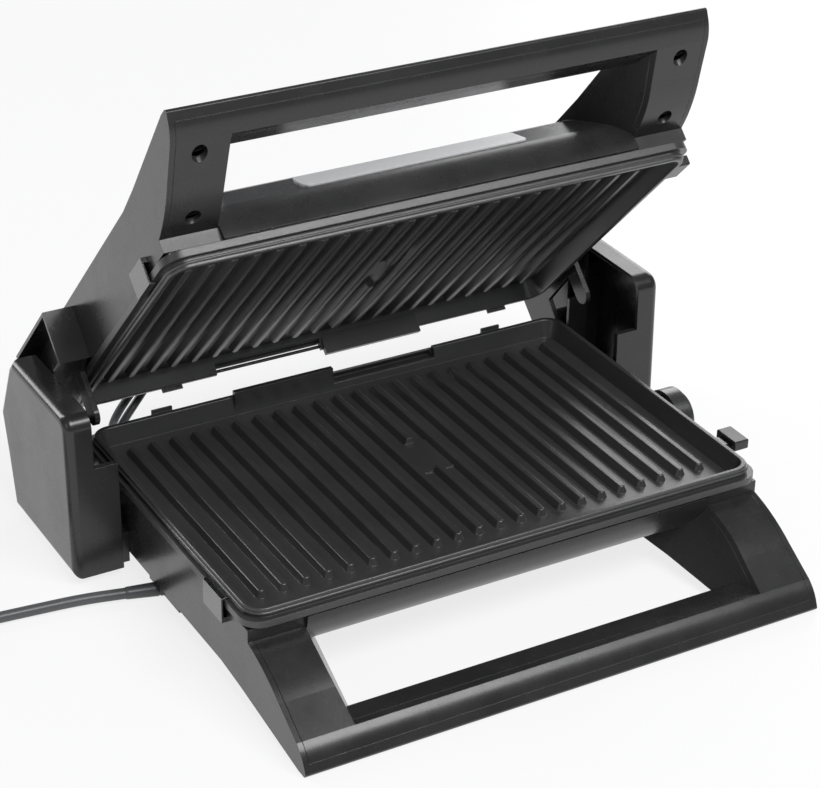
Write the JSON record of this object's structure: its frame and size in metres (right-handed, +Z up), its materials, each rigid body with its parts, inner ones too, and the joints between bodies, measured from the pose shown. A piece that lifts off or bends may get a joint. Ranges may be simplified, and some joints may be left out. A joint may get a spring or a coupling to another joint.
{
  "type": "electric contact grill",
  "caption": "Electric contact grill with two ribbed plates; the lid rides on a floating hinge and opens, each half has a looped front handle, plate release buttons and a side knob.",
  "frame": {"origin": "on the table under the middle of the grill without its mains cord", "axes": "+X to the grill's right side seen from the front, -Y towards the handles, +Z up"},
  "size_m": [0.5335, 0.3299, 0.2997],
  "materials": {
    "dark_plastic": "fine moulded satin",
    "gloss_plastic": "semi gloss",
    "nonstick_coating": "non-stick coating on cast aluminium",
    "sheet_steel": "zinc plated",
    "screw_steel": "blackened and plated steel",
    "element_steel": "dull heated steel",
    "bright_aluminium": "bright sheet",
    "black_rubber": "matte",
    "cord_jacket": "smooth flexible jacket",
    "insulator": "moulded insulator",
    "pin_brass": "plated"
  },
  "bodies": {
    "base": {"base_shell": "dark_plastic", "base_bottom_cover": "dark_plastic", "bottom_cover_screws": "screw_steel", "base_handle_cover": "dark_plastic", "base_handle_screws": "screw_steel", "base_inner_frame": "sheet_steel", "base_frame_screws": "screw_steel", "lower_reflector": "bright_aluminium", "lower_heating_element": "element_steel", "lower_plate": "nonstick_coating", "lower_latch_spring": "sheet_steel", "lower_plate_clip": "sheet_steel", "base_lead_grommet": "black_rubber", "thermostat": "insulator", "terminal_block": "insulator", "cord_clamp": "insulator", "rubber_feet": "black_rubber", "left_hinge_housing": "dark_plastic", "right_hinge_housing": "dark_plastic", "housing_screws": "screw_steel", "link_lead": "cord_jacket", "mains_cord": "cord_jacket", "cord_strain_relief": "cord_jacket", "cord_coil": "cord_jacket", "cord_tie": "black_rubber", "mains_plug": "cord_jacket", "plug_pins": "pin_brass"},
    "hinge_carriage": {"left_hinge_slider": "insulator", "right_hinge_slider": "insulator", "left_hinge_pin": "screw_steel", "right_hinge_pin": "screw_steel"},
    "lid": {"left_lid_arm": "dark_plastic", "right_lid_arm": "dark_plastic", "lid_arm_screws": "screw_steel", "lid_shell": "dark_plastic", "lid_handle_cover": "dark_plastic", "lid_handle_screws": "screw_steel", "lid_trim_plate": "bright_aluminium", "lid_inner_frame": "sheet_steel", "lid_frame_screws": "screw_steel", "upper_reflector": "bright_aluminium", "upper_heating_element": "element_steel", "upper_plate": "nonstick_coating", "upper_latch_spring": "sheet_steel", "upper_plate_clip": "sheet_steel", "lid_lead_grommet": "black_rubber"},
    "knob": {"knob_shaft": "sheet_steel", "control_knob": "gloss_plastic"},
    "lower_button": {"lower_latch_bar": "sheet_steel", "lower_release_button": "dark_plastic"},
    "upper_button": {"upper_latch_bar": "sheet_steel", "upper_release_button": "dark_plastic"}
  },
  "joints": [
    {"name": "lid_float", "type": "slide", "parent": "base", "child": "hinge_carriage", "axis": [0, 0, 1], "range_m": [0, 0.03]},
    {"name": "lid_hinge", "type": "hinge", "parent": "hinge_carriage", "child": "lid", "pos_m": [0, 0.12029, 0.0428], "axis": [-1, 0, 0], "range_deg": [-46.33, 133.67], "deforming": ["link_lead"]},
    {"name": "knob_turn", "type": "hinge", "parent": "base", "child": "knob", "pos_m": [0.165, -0.00641, 0.042], "axis": [1, 0, 0], "range_deg": [0, 240]},
    {"name": "lower_release", "type": "slide", "parent": "base", "child": "lower_button", "axis": [-1, 0, 0], "range_m": [0, 0.0035], "stiffness_N_per_m": 800, "springref_m": -0.002, "deforming": ["lower_latch_spring"]},
    {"name": "upper_release", "type": "slide", "parent": "lid", "child": "upper_button", "axis": [-1, 0, 0], "range_m": [0, 0.0035], "stiffness_N_per_m": 800, "springref_m": -0.002, "deforming": ["upper_latch_spring"]}
  ]
}
